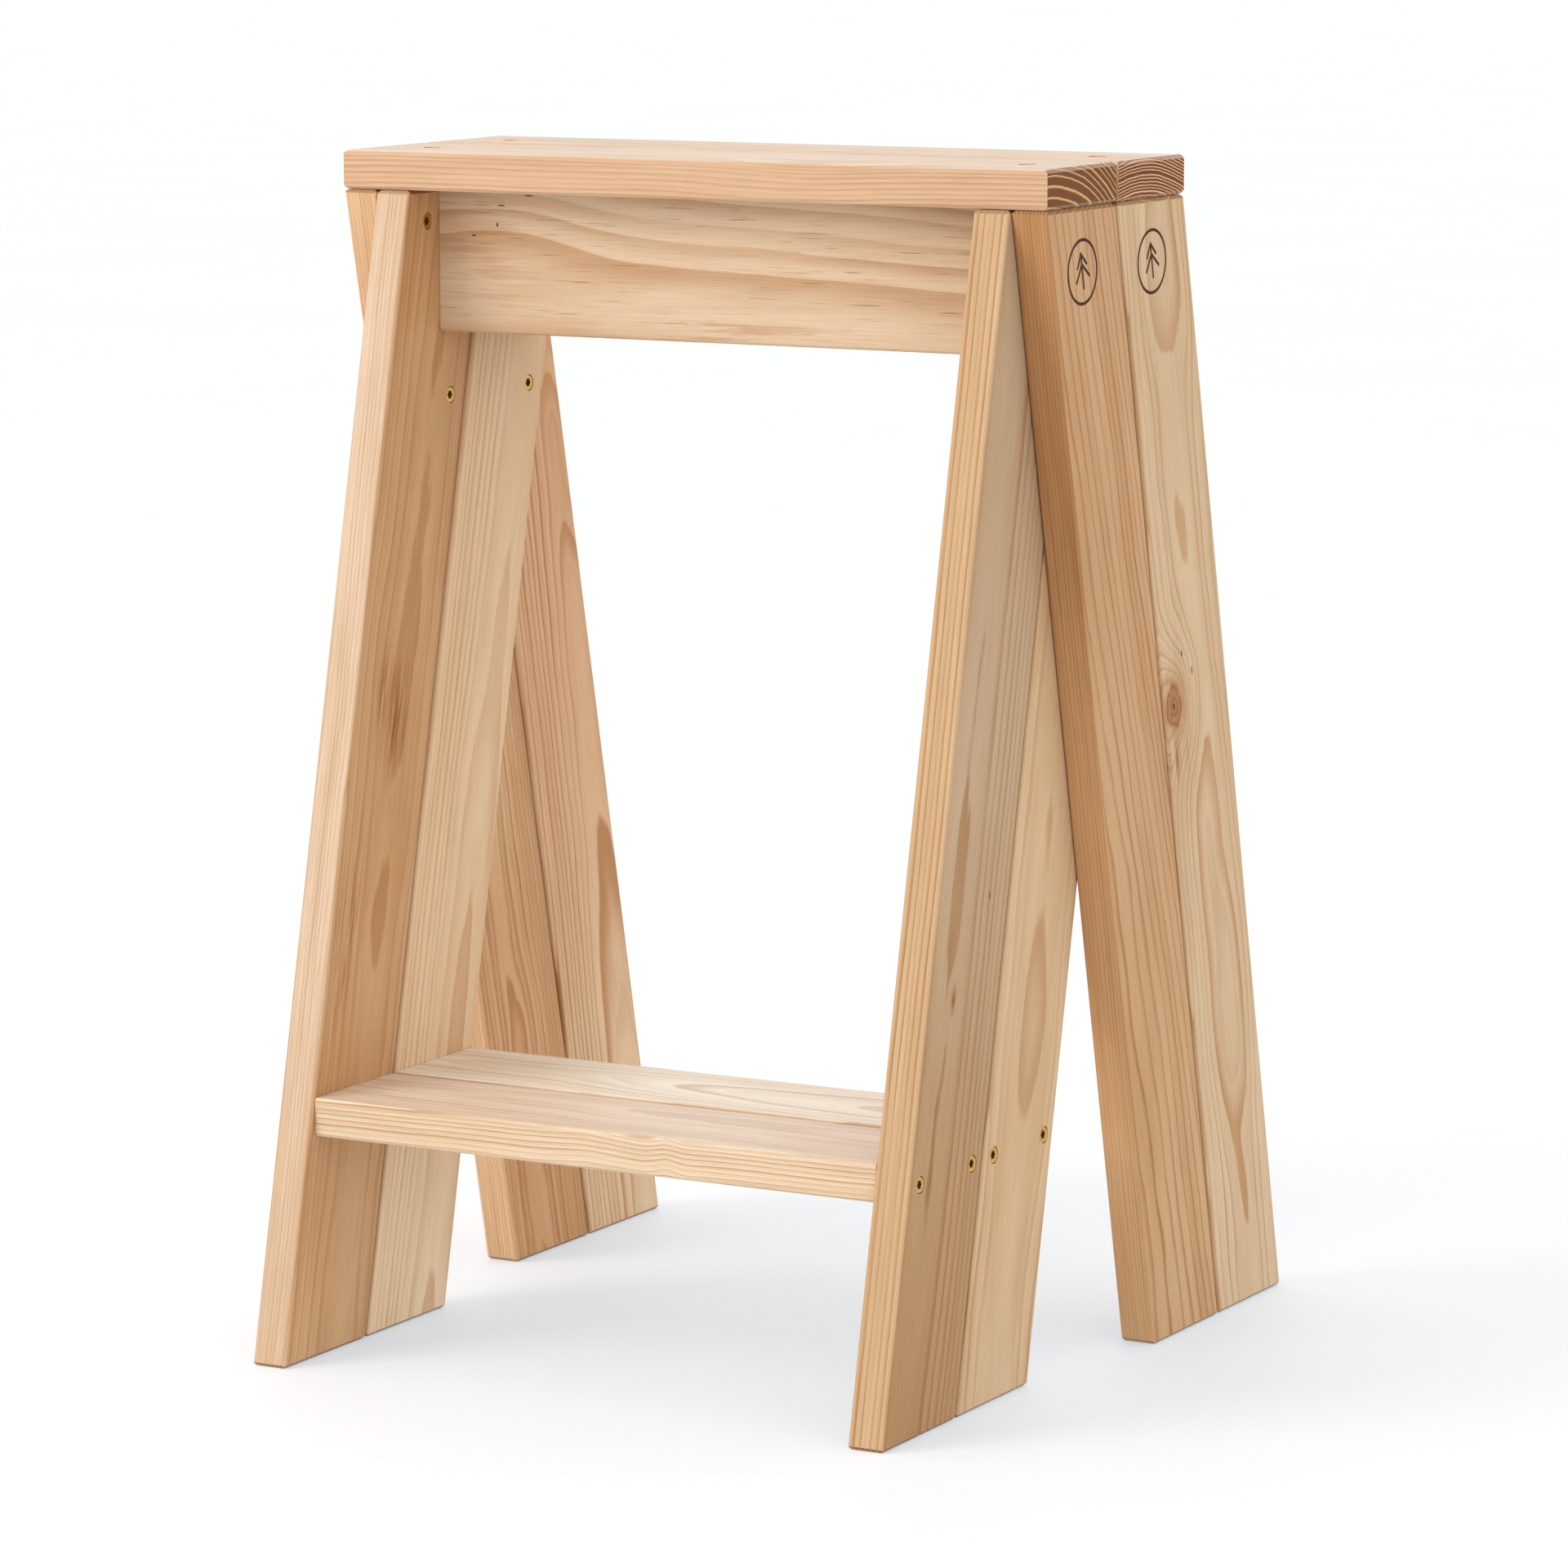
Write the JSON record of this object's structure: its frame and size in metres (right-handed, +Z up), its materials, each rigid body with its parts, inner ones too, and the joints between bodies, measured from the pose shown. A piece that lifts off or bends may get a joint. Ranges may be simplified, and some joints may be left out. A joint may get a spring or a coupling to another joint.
{
  "type": "nesting sawhorse",
  "caption": "Nesting timber sawhorse and stool: crossed-leg A-frame trestles, each with a seat plank, apron and shelf; the rear trestle slides back out of the front one.",
  "frame": {"origin": "centre of the nested pair's footprint, on the floor", "axes": "+Z up, +X along the seat planks, +Y from the front trestle to the rear one, the way the rear one slides out"},
  "size_m": [0.488, 0.4974, 0.736],
  "materials": {
    "seat_wood": "planed, unvarnished softwood, satin",
    "apron_wood": "planed, unvarnished softwood, satin",
    "shelf_wood": "planed, unvarnished softwood, satin",
    "inner_leg_wood": "planed, unvarnished softwood, satin",
    "outer_leg_wood": "planed, unvarnished softwood, satin",
    "screw_brass": "yellow zinc or brass plate, satin"
  },
  "bodies": {
    "front_trestle": {"front_seat_plank": "seat_wood", "front_apron": "apron_wood", "front_shelf": "shelf_wood", "front_left_inner_leg": "inner_leg_wood", "front_left_outer_leg": "outer_leg_wood", "front_left_seat_screw": "screw_brass", "front_left_leg_screw_front": "screw_brass", "front_left_leg_screw_back": "screw_brass", "front_left_leg_screw_low": "screw_brass", "front_left_apron_screw_upper": "screw_brass", "front_left_apron_screw_lower": "screw_brass", "front_left_shelf_screw_front": "screw_brass", "front_left_shelf_screw_back": "screw_brass", "front_right_inner_leg": "inner_leg_wood", "front_right_outer_leg": "outer_leg_wood", "front_right_seat_screw": "screw_brass", "front_right_leg_screw_front": "screw_brass", "front_right_leg_screw_back": "screw_brass", "front_right_leg_screw_low": "screw_brass", "front_right_apron_screw_upper": "screw_brass", "front_right_apron_screw_lower": "screw_brass", "front_right_shelf_screw_front": "screw_brass", "front_right_shelf_screw_back": "screw_brass"},
    "rear_trestle": {"rear_seat_plank": "seat_wood", "rear_apron": "apron_wood", "rear_shelf": "shelf_wood", "rear_left_inner_leg": "inner_leg_wood", "rear_left_outer_leg": "outer_leg_wood", "rear_left_seat_screw": "screw_brass", "rear_left_leg_screw_front": "screw_brass", "rear_left_leg_screw_back": "screw_brass", "rear_left_leg_screw_low": "screw_brass", "rear_left_apron_screw_upper": "screw_brass", "rear_left_apron_screw_lower": "screw_brass", "rear_left_shelf_screw_front": "screw_brass", "rear_left_shelf_screw_back": "screw_brass", "rear_right_inner_leg": "inner_leg_wood", "rear_right_outer_leg": "outer_leg_wood", "rear_right_seat_screw": "screw_brass", "rear_right_leg_screw_front": "screw_brass", "rear_right_leg_screw_back": "screw_brass", "rear_right_leg_screw_low": "screw_brass", "rear_right_apron_screw_upper": "screw_brass", "rear_right_apron_screw_lower": "screw_brass", "rear_right_shelf_screw_front": "screw_brass", "rear_right_shelf_screw_back": "screw_brass"}
  },
  "joints": [
    {"name": "rear_trestle_slide", "type": "slide", "parent": "front_trestle", "child": "rear_trestle", "axis": [0, 1, 0], "range_m": [0, 0.35]}
  ]
}
